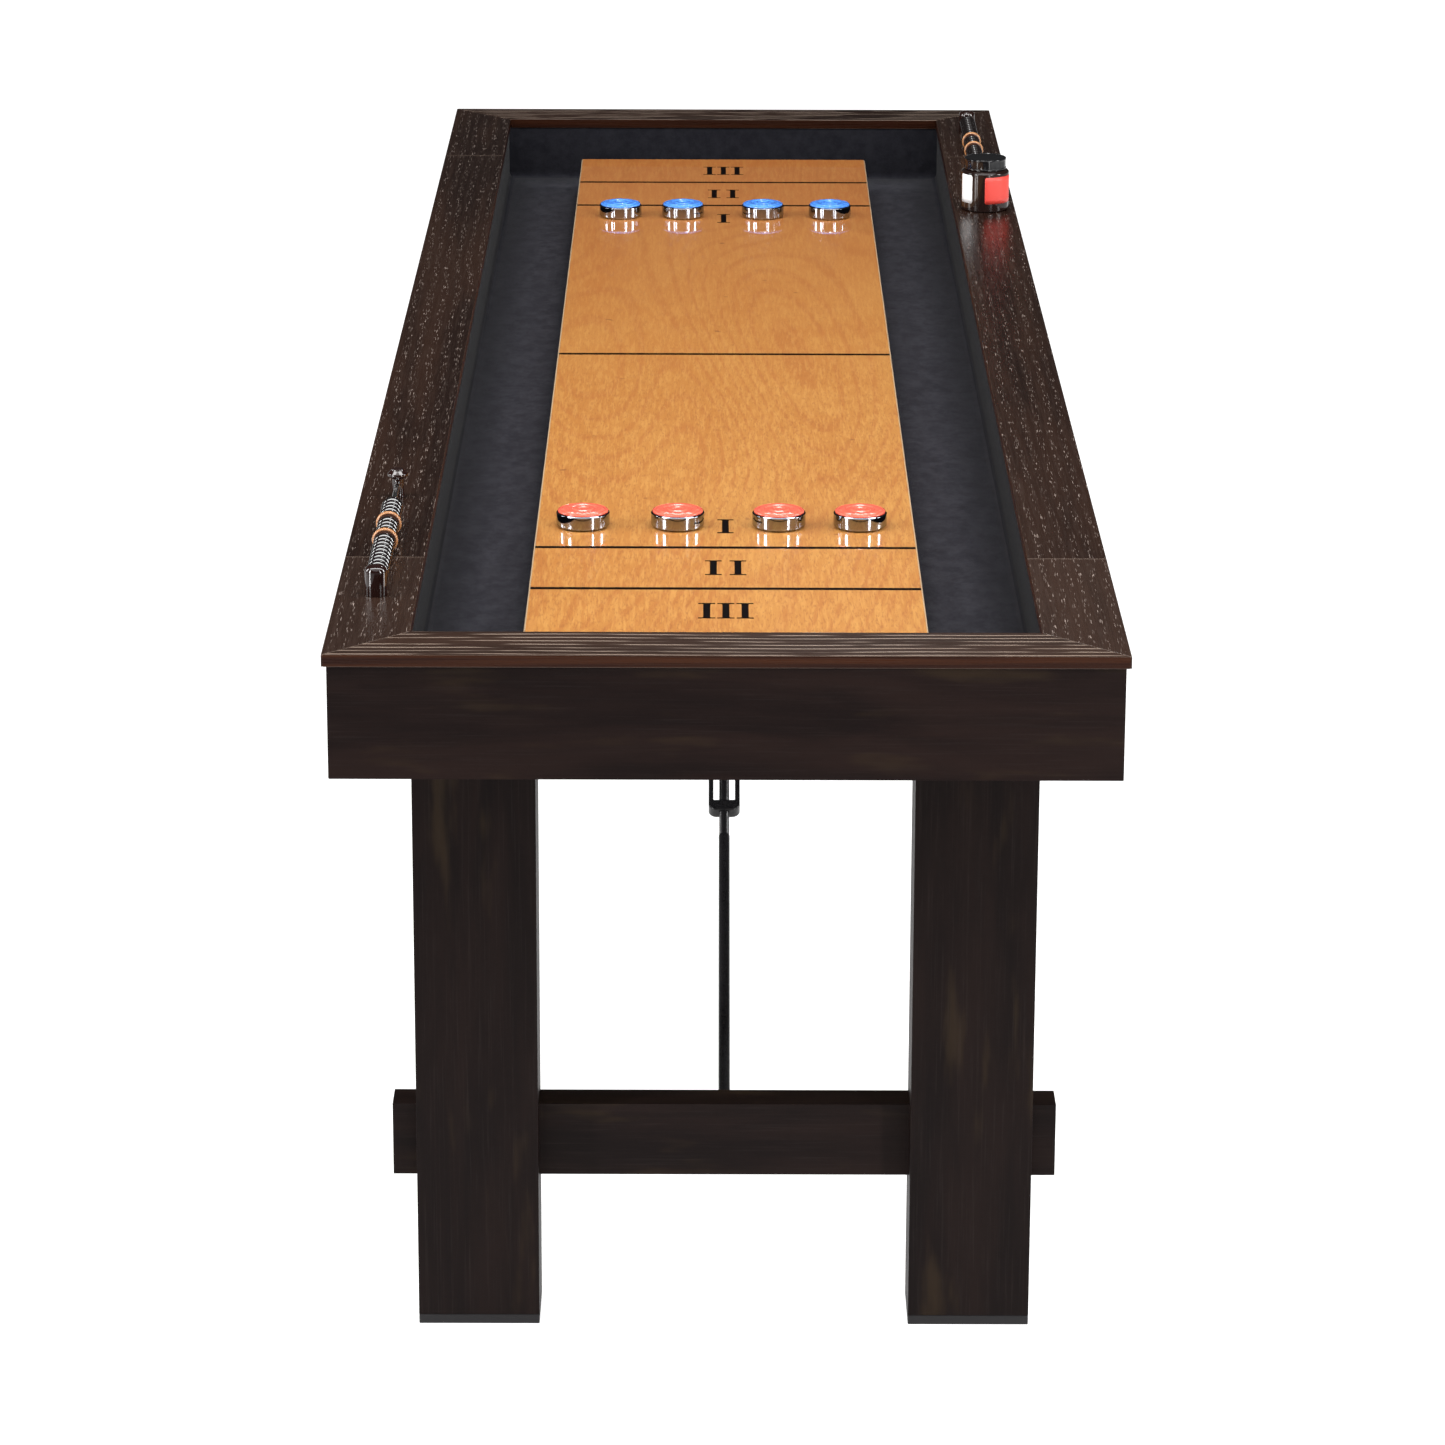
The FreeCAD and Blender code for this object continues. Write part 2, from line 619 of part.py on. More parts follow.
def save_stand():
    corners = [(side, end) for side in (-1, 1) for end in (-1, 1)]
    for side, end in corners:
        end_name = "front" if end < 0 else "back"
        side_name = "left" if side < 0 else "right"
        save("leg_" + end_name + "_" + side_name, leg(side, end))
    save("foot_pads", *[foot_pad(side, end) for side, end in corners])
    save("stretcher_front", stretcher())
    save("stretcher_back", half_turn(stretcher()))
    save("leg_bearers", leg_bearer(), half_turn(leg_bearer()))
    save("centre_bearer", centre_bearer())
    save("bearer_bolts", *bearer_bolts())


def save_tie_rods():
    save("tie_rods_front", *tie_rods())
    save("tie_rods_back", *[half_turn(piece) for piece in tie_rods()])
    save("turnbuckle_front", turnbuckle())
    save("turnbuckle_back", half_turn(turnbuckle()))
    front_brackets = [at_foot(bracket()), at_head(bracket())]
    save("rod_brackets", *front_brackets, *[half_turn(piece) for piece in front_brackets])
    front_pins = [place(piece) for place in (at_foot, at_head) for piece in pin_bolt()]
    save("rod_bolts", *front_pins, *[half_turn(piece) for piece in front_pins])
    save("bracket_screws", *bracket_screws(), *[half_turn(piece) for piece in bracket_screws()])


def save_scorers():
    save("scorer_plain_posts", *[plain_post(name) for name in SCORER_PLACES])
    save("scorer_knob_posts", *[knob_post(name) for name in SCORER_PLACES])
    save("scorer_rods", *[scorer_rod(name) for name in SCORER_PLACES])
    for name in SCORER_PLACES:
        for group, beads in BEAD_GROUPS.items():
            save("beads_" + name + "_" + group, *[bead(name, index) for index in beads])


def save_pucks():
    for colour, (y, columns) in PUCK_ROWS.items():
        for number, x in enumerate(columns, start=1):
            name = "puck_" + colour + "_" + str(number)
            save(name, puck(x, y))
            save(name + "_cap", puck_cap(x, y))


def save_jar():
    save("jar_body", jar_body())
    save("jar_lid", jar_lid())


os.makedirs("parts", exist_ok=True)
save_top()
save_stand()
save_tie_rods()
save_scorers()
save_pucks()
save_jar()
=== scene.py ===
import json
import math

import bmesh
import bpy
from mathutils import Matrix, Vector


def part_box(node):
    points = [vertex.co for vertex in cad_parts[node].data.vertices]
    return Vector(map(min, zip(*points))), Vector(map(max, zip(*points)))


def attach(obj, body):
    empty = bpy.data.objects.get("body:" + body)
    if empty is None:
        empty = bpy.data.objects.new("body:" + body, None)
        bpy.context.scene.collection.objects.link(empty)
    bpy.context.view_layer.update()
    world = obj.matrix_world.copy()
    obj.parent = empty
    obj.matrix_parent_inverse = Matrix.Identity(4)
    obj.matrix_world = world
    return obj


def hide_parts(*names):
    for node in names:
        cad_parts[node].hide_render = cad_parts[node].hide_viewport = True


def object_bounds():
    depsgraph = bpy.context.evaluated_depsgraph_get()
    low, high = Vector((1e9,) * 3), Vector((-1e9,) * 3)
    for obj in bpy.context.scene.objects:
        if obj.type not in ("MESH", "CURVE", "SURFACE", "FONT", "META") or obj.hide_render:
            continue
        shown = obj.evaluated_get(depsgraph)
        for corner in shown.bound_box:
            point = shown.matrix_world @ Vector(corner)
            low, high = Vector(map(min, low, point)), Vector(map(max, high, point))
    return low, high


# Looks of the shuffleboard table, in metres, in the CAD frame: X across the table, Y along it,
# Z up from the floor. The front end, at -Y, faces the camera.

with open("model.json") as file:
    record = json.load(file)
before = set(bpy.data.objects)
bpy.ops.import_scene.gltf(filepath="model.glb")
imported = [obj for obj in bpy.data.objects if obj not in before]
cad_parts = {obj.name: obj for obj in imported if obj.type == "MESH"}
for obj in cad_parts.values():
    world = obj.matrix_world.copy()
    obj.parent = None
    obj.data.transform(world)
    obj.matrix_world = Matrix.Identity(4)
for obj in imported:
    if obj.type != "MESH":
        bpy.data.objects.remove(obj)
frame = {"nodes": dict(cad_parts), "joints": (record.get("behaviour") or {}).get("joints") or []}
cad_box = [list(corner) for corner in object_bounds()]

MM = 0.001
TABLE_HIGH = Vector(cad_box[1])
BOARD_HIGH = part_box("playfield")[1]
GUTTER_WALL = Vector((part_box("gutter_wall_right")[0].x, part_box("gutter_wall_back")[0].y, 0.0))
SEAM_PLACE = 1028 * MM          # butt seams of the side rails, either way from the middle

# Camera: place from the table's middle on the floor, and aim
CAMERA_PLACE = (-0.0131, -6.1438, 2.1827)
CAMERA_PITCH = 0.3019
CAMERA_YAW = -0.0020
CAMERA_ROLL = 0.0033
CAMERA_LENS_MM = 132.16
CAMERA_SENSOR_MM = 36.0

# Printed marks on the board, measured from its middle
LINE_PLACES = (0.0, 864 * MM, 1019 * MM)
LINE_WIDTH = 8.4 * MM
LINE_END_GAP = 1.5 * MM
PRINT_THICK = 0.12 * MM
PRINT_PROUD = 0.06 * MM
NUMERAL_PLACES = {1: 780 * MM, 2: 941 * MM, 3: 1099 * MM}
NUMERAL_HEIGHT = 55 * MM
NUMERAL_PITCH = {1: 0.0, 2: 25 * MM, 3: 19 * MM}
STEM_WIDTH = 7 * MM
SERIF_WIDTH = 17 * MM
SERIF_THICK = 3.4 * MM
SERIF_BRACKET = 2 * MM


# ---- Shader building --------------------------------------------------------------------------

class Finish:
    """A material with short calls for the texture nodes that its finish is made of."""

    def __init__(self, name, **sockets):
        self.material = bpy.data.materials.new(name)
        self.material.use_nodes = True
        self.nodes = self.material.node_tree.nodes
        self.surface = self.nodes["Principled BSDF"]
        self.here = self.nodes.new("ShaderNodeTexCoord").outputs["Object"]
        for socket, value in sockets.items():
            self.set(socket, value)

    def set(self, socket, value):
        """Gives a socket of the surface a constant or a texture; underscores stand for spaces."""
        self.join(self.surface.inputs[socket.replace("_", " ")], value)

    def join(self, target, value):
        if isinstance(value, bpy.types.NodeSocket):
            self.material.node_tree.links.new(value, target)
        elif isinstance(value, (tuple, list)) and len(value) == 3 and len(target.default_value) == 4:
            target.default_value = (*value, 1.0)
        else:
            target.default_value = value

    def stretched(self, scale, offset=(0.0, 0.0, 0.0)):
        """The place on the object, scaled by a different amount along each axis."""
        mapping = self.nodes.new("ShaderNodeMapping")
        self.join(mapping.inputs["Vector"], self.here)
        mapping.inputs["Scale"].default_value = scale
        mapping.inputs["Location"].default_value = offset
        return mapping.outputs["Vector"]

    def noise(self, scale, detail=2.0, roughness=0.5, distortion=0.0, offset=(0.0, 0.0, 0.0)):
        texture = self.nodes.new("ShaderNodeTexNoise")
        self.join(texture.inputs["Vector"], self.stretched(scale, offset))
        texture.inputs["Scale"].default_value = 1.0
        texture.inputs["Detail"].default_value = detail
        texture.inputs["Roughness"].default_value = roughness
        texture.inputs["Distortion"].default_value = distortion
        return texture.outputs["Fac"]

    def math(self, operation, first, second=0.0, third=0.0):
        node = self.nodes.new("ShaderNodeMath")
        node.operation = operation
        for socket, value in zip(node.inputs, (first, second, third)):
            self.join(socket, value)
        return node.outputs[0]

    def step(self, value, low, high):
        """Rises smoothly from 0 to 1 as value goes from low to high."""
        node = self.nodes.new("ShaderNodeMapRange")
        node.interpolation_type = "SMOOTHSTEP"
        self.join(node.inputs["Value"], value)
        node.inputs["From Min"].default_value = low
        node.inputs["From Max"].default_value = high
        return node.outputs["Result"]

    def mix(self, share, first, second):
        node = self.nodes.new("ShaderNodeMix")
        node.data_type = "RGBA"
        self.join(node.inputs["Factor"], share)
        self.join(node.inputs[6], first)
        self.join(node.inputs[7], second)
        return node.outputs[2]

    def tint(self, base, colour, strength, value, low, high):
        """Mixes a colour into the base as value goes from low to high, up to a strength."""
        return self.mix(self.math("MULTIPLY", self.step(value, low, high), strength), base, colour)

    def axis(self, index):
        """One coordinate of the place on the object."""
        node = self.nodes.new("ShaderNodeSeparateXYZ")
        self.join(node.inputs[0], self.here)
        return node.outputs[index]

    def facing(self, index):
        """How squarely the surface faces along one axis of its object, 0 to 1."""
        node = self.nodes.new("ShaderNodeSeparateXYZ")
        place = self.nodes.new("ShaderNodeTexCoord")
        self.join(node.inputs[0], place.outputs["Normal"])
        return self.math("ABSOLUTE", node.outputs[index])

    def line(self, value, width):
        """1 where value is within half a width of zero, else 0."""
        return self.step(self.math("ABSOLUTE", value), width * 0.65, width * 0.35)

    def inset(self, index, half_size):
        """How far the place lies inside a symmetric outline along one axis."""
        return self.math("SUBTRACT", half_size, self.math("ABSOLUTE", self.axis(index)))

    def bump(self, height, distance):
        """Raises the surface by height times distance."""
        node = self.nodes.new("ShaderNodeBump")
        self.join(node.inputs["Height"], height)
        node.inputs["Distance"].default_value = distance
        node.inputs["Strength"].default_value = 1.0
        self.set("Normal", node.outputs["Normal"])


def along_axis(axis, along, across):
    """A scale vector with one value along the grain's axis and another across it."""
    return tuple(along if index == axis else across for index in range(3))


# ---- Finishes ---------------------------------------------------------------------------------

# Rows of open pores: the gap between rows, how the rows wander, how narrow they are, how often they
# break along and across the grain, how pale they look, and how strong the painted highlight on the eased
# top edge is
END_PORES = {
    "row_gap": 11.0 * MM, "warp": (3.2, 9.0), "waviness": 7.0, "row_low": 0.45, "row_high": 1.0,
    "rates": (16.0, 120.0), "gap": 0.36, "softness": 0.20,
    "strength": 0.74, "tone": (0.29, 0.22, 0.175), "arris_highlight": 0.6,
}
SIDE_PORES = {
    "row_gap": 13.0 * MM, "warp": (1.3, 5.0), "waviness": 34.0, "row_low": -0.6, "row_high": 0.8,
    "rates": (55.0, 1050.0), "gap": 0.625, "softness": 0.06,
    "strength": 0.60, "tone": (0.40, 0.32, 0.28), "arris_highlight": 0.1,
}


def rail_veneer(name, axis, pores):
    """Espresso oak veneer on the rails: dark, with broken rows of pale open pores along the grain."""
    finish = Finish(name, Specular_IOR_Level=0.22)
    tone = finish.noise(along_axis(axis, 1.6, 22.0), detail=4.0, roughness=0.6)
    fibre = finish.noise(along_axis(axis, 18.0, 620.0), detail=3.0, roughness=0.7)
    dark = finish.mix(finish.step(tone, 0.35, 0.65), (0.0095, 0.0040, 0.0026), (0.0205, 0.0090, 0.0054))
    dark = finish.tint(dark, (0.042, 0.027, 0.021), 0.3, fibre, 0.45, 0.7)
    front_length = (finish.axis(1), -SEAM_PLACE, -SEAM_PLACE - 0.1 * MM)
    dark = finish.tint(dark, (0.072, 0.041, 0.029), 0.18, *front_length)
    warp = finish.noise(along_axis(axis, *pores["warp"]), detail=2.0, offset=(3.1, 1.7, 0.4))
    row_place = finish.math("MULTIPLY_ADD", finish.axis(1 - axis), 2 * math.pi / pores["row_gap"],
                            finish.math("MULTIPLY", warp, pores["waviness"]))
    rows = finish.step(finish.math("SINE", row_place), pores["row_low"], pores["row_high"])
    dashes = finish.noise(along_axis(axis, *pores["rates"]), detail=1.0, offset=(0.7, 5.3, 2.9))
    dashes = finish.step(dashes, pores["gap"], pores["gap"] + pores["softness"])
    open_pores = finish.math("MULTIPLY", rows, dashes)
    top = finish.mix(finish.math("MULTIPLY", open_pores, pores["strength"]), dark, pores["tone"])
    # Painted highlight: thin pale lines along the mitres and butt seams, standing in for the light their
    # eased edges catch.
    mitre = finish.math("SUBTRACT", finish.inset(0, TABLE_HIGH.x), finish.inset(1, TABLE_HIGH.y))
    butt = finish.math("SUBTRACT", finish.math("ABSOLUTE", finish.axis(1)), SEAM_PLACE)
    joint = finish.math("MAXIMUM", finish.line(mitre, 1.4 * MM), finish.line(butt, 2.0 * MM))
    top = finish.mix(finish.math("MULTIPLY", joint, 0.6), top, (0.17, 0.125, 0.10))
    edge_grain = finish.noise(along_axis(axis, 3.0, 160.0), detail=3.0)
    edge_grain = finish.step(edge_grain, 0.3, 0.7)
    edge = finish.mix(edge_grain, (0.017, 0.0038, 0.0013), (0.045, 0.0125, 0.0036))
    # Painted shade: the rails' edges are painted darker towards the far end of the table, where less light
    # reaches.
    edge = finish.tint(edge, (0.010, 0.0032, 0.0018), 0.7, finish.axis(1), 0.0, TABLE_HIGH.y)
    # Painted highlight: the eased top edges are painted lighter, standing in for the light they catch.
    tilt = finish.facing(2)
    arris_highlight = finish.math("MULTIPLY", finish.step(tilt, 0.25, 0.5), finish.step(tilt, 0.97, 0.85))
    top = finish.mix(finish.math("MULTIPLY", arris_highlight, pores["arris_highlight"]), top, (0.20, 0.14, 0.11))
    finish.set("Base_Color", finish.mix(finish.step(tilt, 0.2, 0.5), edge, top))
    finish.set("Roughness", finish.math("MULTIPLY_ADD", fibre, 0.16, 0.20))
    relief = finish.math("MULTIPLY_ADD", open_pores, -1.0, finish.math("MULTIPLY", fibre, 0.4))
    finish.bump(relief, 0.08 * MM)
    return finish.material


def dark_veneer(name, axis, painted_light_factor=1.0):
    """Very dark stained veneer of the aprons, legs and stretchers, with faint figure, scaled by a factor
    that paints in light and shade.
    """
    finish = Finish(name, Roughness=0.5, Specular_IOR_Level=0.10)
    tone = finish.noise(along_axis(axis, 3.2, 26.0), detail=4.0, roughness=0.6, distortion=0.4)
    fibre = finish.noise(along_axis(axis, 9.0, 420.0), detail=4.0, roughness=0.7)
    patch = finish.noise(along_axis(axis, 5.5, 30.0), detail=3.0, roughness=0.55, offset=(4.0, 2.0, 7.0))
    # Painted light and shade: the factor gives lighter and darker copies of one veneer for parts that
    # stand in more or less light.
    deep = tuple(value * painted_light_factor for value in (0.0050, 0.0024, 0.0022))
    worn = tuple(value * painted_light_factor for value in (0.0110, 0.0054, 0.0044))
    base = finish.mix(finish.step(tone, 0.3, 0.7), deep, worn)
    base = finish.tint(base, (0.034, 0.021, 0.010), 0.45, patch, 0.56, 0.74)
    base = finish.tint(base, (0.027, 0.020, 0.018), 0.28, fibre, 0.5, 0.75)
    finish.set("Base_Color", base)
    finish.bump(fibre, 0.05 * MM)
    return finish.material


def board_wood():
    """Honey-coloured figured hardwood under a deep gloss lacquer, redder towards the far end."""
    finish = Finish("board_wood", Roughness=0.42, Coat_Weight=1.0, Coat_Roughness=0.02, Coat_IOR=1.5)
    cloud = finish.noise((5.0, 1.8, 1.0), detail=3.0, roughness=0.55, distortion=1.2)
    growth = finish.noise((2.6, 0.55, 1.0), detail=1.0, distortion=0.25, offset=(1.0, 3.0, 0.0))
    rings = finish.math("SINE", finish.math("MULTIPLY", growth, 260.0))
    curl = finish.noise((7.0, 26.0, 1.0), detail=2.0, roughness=0.4, distortion=0.8,
                        offset=(2.0, 0.0, 0.0))
    streak = finish.noise((280.0, 24.0, 1.0), detail=3.0, roughness=0.6, distortion=0.5)
    fleck = finish.noise((560.0, 80.0, 1.0), detail=2.0, roughness=0.6, offset=(9.0, 4.0, 0.0))
    knot = finish.noise((42.0, 42.0, 1.0), detail=1.0, offset=(5.5, 2.5, 0.0))
    base = finish.mix(finish.step(cloud, 0.2, 0.8), (0.488, 0.185, 0.034), (0.560, 0.250, 0.055))
    along = finish.axis(1)
    near = finish.step(along, 0.5 * BOARD_HIGH.y, -0.6 * BOARD_HIGH.y)
    streak_strength = finish.math("MULTIPLY_ADD", near, 0.22, 0.18)
    fleck_strength = finish.math("MULTIPLY_ADD", near, 0.30, 0.22)
    base = finish.tint(base, (0.450, 0.128, 0.029), 0.64, along, -0.1 * BOARD_HIGH.y, BOARD_HIGH.y)
    base = finish.tint(base, (0.430, 0.140, 0.028), 0.46, rings, 0.3, 1.0)
    base = finish.tint(base, (0.440, 0.148, 0.030), 0.14, curl, 0.40, 0.68)
    base = finish.tint(base, (0.760, 0.400, 0.105), streak_strength, streak, 0.42, 0.66)
    base = finish.tint(base, (0.340, 0.112, 0.024), fleck_strength, fleck, 0.52, 0.66)
    base = finish.tint(base, (0.230, 0.070, 0.016), 0.7, knot, 0.76, 0.82)
    # Painted highlight: the chamfered edges of the board are painted pale tan, standing in for the light
    # they catch.
    tilt = finish.facing(2)
    arris_highlight = finish.math("MULTIPLY", finish.step(tilt, 0.3, 0.5), finish.step(tilt, 0.95, 0.85))
    finish.set("Base_Color", finish.mix(finish.math("MULTIPLY", arris_highlight, 0.8), base, (0.93, 0.72, 0.47)))
    return finish.material


def raw_wood(name, axis):
    """Plain sawn softwood of the hidden boards."""
    finish = Finish(name, Roughness=0.72)
    rings = finish.noise(along_axis(axis, 1.4, 45.0), detail=4.0, roughness=0.6, distortion=0.6)
    fibre = finish.noise(along_axis(axis, 16.0, 700.0), detail=3.0, roughness=0.7)
    base = finish.mix(finish.step(rings, 0.35, 0.65), (0.50, 0.34, 0.19), (0.36, 0.22, 0.11))
    base = finish.mix(finish.math("MULTIPLY", fibre, 0.3), base, (0.60, 0.45, 0.28))
    finish.set("Base_Color", base)
    finish.bump(fibre, 0.15 * MM)
    return finish.material


# Distances from the gutter's wall between which the felt's painted shade fades out, then darkens it again
# next to the board
WALL_SHADE_FADE = (8 * MM, 62 * MM)
BOARD_SHADE_RISE = (118 * MM, 76 * MM)


def felt():
    """Short-pile charcoal felt with painted shade: lighter along the middle of the gutter, darker against
    its walls, next to the board and on the walls themselves.
    """
    finish = Finish("felt", Roughness=0.95, Specular_IOR_Level=0.1,
                    Sheen_Weight=0.05, Sheen_Roughness=0.5)
    pile = finish.noise((1400.0, 1400.0, 1400.0), detail=2.0, roughness=0.7)
    nap = finish.noise((70.0, 45.0, 70.0), detail=5.0, roughness=0.75)
    base = finish.mix(finish.step(nap, 0.32, 0.68), (0.0098, 0.0098, 0.0142), (0.0290, 0.0290, 0.0360))
    base = finish.tint(base, (0.034, 0.034, 0.044), 0.5, pile, 0.4, 0.7)
    # Painted shade: darkest against the walls and next to the board, gone along the middle of the gutter.
    from_wall = finish.math("MINIMUM", finish.inset(0, GUTTER_WALL.x), finish.inset(1, GUTTER_WALL.y))
    brushed_and_unshaded = finish.math("MULTIPLY", finish.step(from_wall, *WALL_SHADE_FADE),
                          finish.step(from_wall, *BOARD_SHADE_RISE))
    # Painted shade: the walls are painted darker than the floor, the side walls darkest; the mix below
    # turns the felt towards near black by this shade.
    lying = finish.step(finish.facing(2), 0.35, 0.9)
    flat_painted_shade = finish.math("MULTIPLY_ADD", brushed_and_unshaded, -0.56, 0.56)
    shade = finish.math("MULTIPLY_ADD", lying, -0.14, finish.math("ADD", flat_painted_shade, 0.10))
    shade = finish.math("MULTIPLY_ADD", finish.facing(0), 0.25, shade)
    finish.set("Base_Color", finish.mix(shade, base, (0.002, 0.002, 0.0035)))
    finish.bump(pile, 0.35 * MM)
    return finish.material


def plastic(name, colour, roughness, mottle=0.12, coat=0.0, ior=1.5):
    """Moulded plastic with a faint unevenness in its colour and surface."""
    finish = Finish(name, Roughness=roughness, IOR=ior,
                    Coat_Weight=coat, Coat_Roughness=0.04, Coat_IOR=ior)
    cloud = finish.noise((160.0, 160.0, 160.0), detail=2.0)
    darker = tuple(value * (1.0 - mottle) for value in colour)
    lighter = tuple(min(1.0, value * (1.0 + mottle)) for value in colour)
    finish.set("Base_Color", finish.mix(cloud, darker, lighter))
    finish.bump(finish.noise((900.0, 900.0, 900.0), detail=2.0), 0.01 * MM)
    return finish.material


def metal(name, colour, roughness, brushed_and_unshaded=0.0):
    """Bare or plated metal, with fine turning marks where it is brushed."""
    finish = Finish(name, Metallic=1.0)
    marks = finish.noise((60.0, 60.0, 2600.0), detail=2.0)
    finish.set("Base_Color", finish.mix(marks, tuple(value * 0.94 for value in colour), colour))
    finish.set("Roughness", finish.math("MULTIPLY_ADD", marks, brushed_and_unshaded, roughness))
    return finish.material


def black_paint():
    """Satin black paint on steel, worn a little uneven."""
    finish = Finish("black_steel", Roughness=0.26, Specular_IOR_Level=0.3)
    wear = finish.noise((90.0, 90.0, 90.0), detail=4.0, roughness=0.7)
    finish.set("Base_Color", finish.mix(wear, (0.006, 0.006, 0.007), (0.020, 0.019, 0.020)))
    finish.bump(finish.noise((700.0, 700.0, 700.0), detail=2.0), 0.03 * MM)
    return finish.material


# Radii over which the bead turns from dark brown round the bore to tan
MARKER_DARK_RADII = (10.6 * MM, 12.0 * MM)


def marker_bead():
    """Tan bead whose end faces are dark brown round the bore."""
    finish = Finish("bead_marker", Roughness=0.25)
    radius = finish.math("SQRT", finish.math("ADD", finish.math("POWER", finish.axis(0), 2.0),
                                             finish.math("POWER", finish.axis(2), 2.0)))
    cloud = finish.noise((160.0, 160.0, 160.0), detail=2.0)
    tan = finish.mix(cloud, (0.36, 0.160, 0.062), (0.44, 0.200, 0.082))
    rim = finish.step(radius, *MARKER_DARK_RADII)
    finish.set("Base_Color", finish.mix(rim, (0.050, 0.018, 0.010), tan))
    return finish.material


def label_sticker(name, colour):
    """Plain coated-paper sticker."""
    finish = Finish(name, Roughness=0.45)
    paper = finish.noise((420.0, 420.0, 420.0), detail=3.0)
    finish.set("Base_Color", finish.mix(paper, tuple(value * 0.93 for value in colour), colour))
    finish.bump(paper, 0.02 * MM)
    return finish.material


X_GRAIN, Y_GRAIN, Z_GRAIN = 0, 1, 2
FINISHES = {
    "rail_end": rail_veneer("rail_end_veneer", X_GRAIN, END_PORES),
    "rail_side": rail_veneer("rail_side_veneer", Y_GRAIN, SIDE_PORES),
    "veneer_x": dark_veneer("dark_veneer_x", X_GRAIN),
    # Painted light and shade: the aprons' copy is lighter to make up for the shadow of the rails' overhang
    # on them, the legs' copy darker.
    "apron_x": dark_veneer("apron_veneer_x", X_GRAIN, 1.3),
    "apron_y": dark_veneer("apron_veneer_y", Y_GRAIN, 1.3),
    "veneer_z": dark_veneer("dark_veneer_z", Z_GRAIN, 0.85),
    "board": board_wood(),
    "raw_x": raw_wood("raw_wood_x", X_GRAIN),
    "felt": felt(),
    "foot": plastic("foot_plastic", (0.017, 0.016, 0.017), 0.6, ior=1.3),
    "zinc": metal("zinc_steel", (0.62, 0.62, 0.60), 0.28, 0.15),
    "black_steel": black_paint(),
    "black_gloss": plastic("black_gloss", (0.014, 0.005, 0.004), 0.09, ior=1.65),
    "bead_black": plastic("bead_black", (0.007, 0.005, 0.005), 0.06, ior=1.9),
    "bead_marker": marker_bead(),
    "chrome": metal("puck_chrome", (0.335, 0.365, 0.42), 0.05, 0.03),
    "rod_steel": metal("rod_steel", (0.78, 0.78, 0.78), 0.12, 0.05),
    "cap_red": plastic("cap_red", (0.88, 0.135, 0.085), 0.2, mottle=0.05, coat=0.7),
    "cap_blue": plastic("cap_blue", (0.075, 0.265, 0.84), 0.2, mottle=0.05, coat=0.7),
    "jar": plastic("jar_plastic", (0.012, 0.006, 0.005), 0.12, ior=1.5),
    "lid": plastic("lid_plastic", (0.006, 0.006, 0.007), 0.10, ior=1.5),
    "label_white": label_sticker("label_white", (0.90, 0.91, 0.92)),
    "label_red": label_sticker("label_red", (0.62, 0.048, 0.034)),
    "print": plastic("print_black", (0.003, 0.002, 0.002), 0.5, ior=1.1),
}

NODE_FINISHES = {
    "rail_end": ("rail_front", "rail_back"),
    "rail_side": ("rail_left", "rail_right"),
    "veneer_x": ("stretcher_front", "stretcher_back"),
    "apron_x": ("apron_front", "apron_back"),
    "apron_y": ("apron_left", "apron_right"),
    "veneer_z": ("leg_front_left", "leg_front_right", "leg_back_left", "leg_back_right"),
    "raw_x": ("corner_blocks", "playfield_cleats", "leg_bearers", "centre_bearer"),
    "felt": ("gutter_floor", "gutter_wall_front", "gutter_wall_back",
             "gutter_wall_left", "gutter_wall_right"),
    "board": ("playfield",),
    "foot": ("foot_pads",),
    "zinc": ("bearer_bolts", "bracket_screws", "rod_bolts"),
    "black_steel": ("tie_rods_front", "tie_rods_back", "turnbuckle_front", "turnbuckle_back",
                    "rod_brackets"),
    "rod_steel": ("scorer_rods",),
}
EASED = {
    1.4 * MM: ("rail_front", "rail_back"),
    0.7 * MM: ("rail_left", "rail_right"),
    0.9 * MM: ("apron_front", "apron_back", "apron_left", "apron_right"),
    1.2 * MM: ("leg_front_left", "leg_front_right", "leg_back_left", "leg_back_right",
               "stretcher_front", "stretcher_back"),
    1.5 * MM: ("foot_pads",),
    0.6 * MM: ("leg_bearers", "centre_bearer", "rod_brackets", "corner_blocks"),
}


def paint(piece, finish):
    piece.data.materials.clear()
    piece.data.materials.append(FINISHES[finish])


def ease_edges(node, width):
    """Rounds a board's sharp edges, after joining the corners that its faces share."""
    weld = node.modifiers.new("weld", "WELD")
    weld.merge_threshold = 0.01 * MM
    bevel = node.modifiers.new("eased_edges", "BEVEL")
    bevel.width = width
    bevel.segments = 3
    bevel.limit_method = "ANGLE"
    bevel.angle_limit = math.radians(40)
    bevel.harden_normals = True


def finish_cad_nodes():
    for finish, nodes in NODE_FINISHES.items():
        for name in nodes:
            paint(frame["nodes"][name], finish)
    for width, nodes in EASED.items():
        for name in nodes:
            ease_edges(frame["nodes"][name], width)


# ---- Mesh building ----------------------------------------------------------------------------

def new_piece(name, points, faces, finish, body, place=(0.0, 0.0, 0.0), sharp=35.0):
    """A mesh piece that rides on a body, smooth except across edges sharper than an angle."""
    mesh = bpy.data.meshes.new(name)
    mesh.from_pydata([tuple(point) for point in points], [], faces)
    mesh.validate()
    mesh.shade_smooth()
    mesh.set_sharp_from_angle(angle=math.radians(sharp))
    return place_piece(name, mesh, finish, body, place)


def place_piece(name, mesh, finish, body, place=(0.0, 0.0, 0.0)):
    piece = bpy.data.objects.new(name, mesh)
    bpy.context.scene.collection.objects.link(piece)
    piece.location = place
    if not mesh.materials:
        mesh.materials.append(FINISHES[finish])
    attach(piece, body)
    return piece


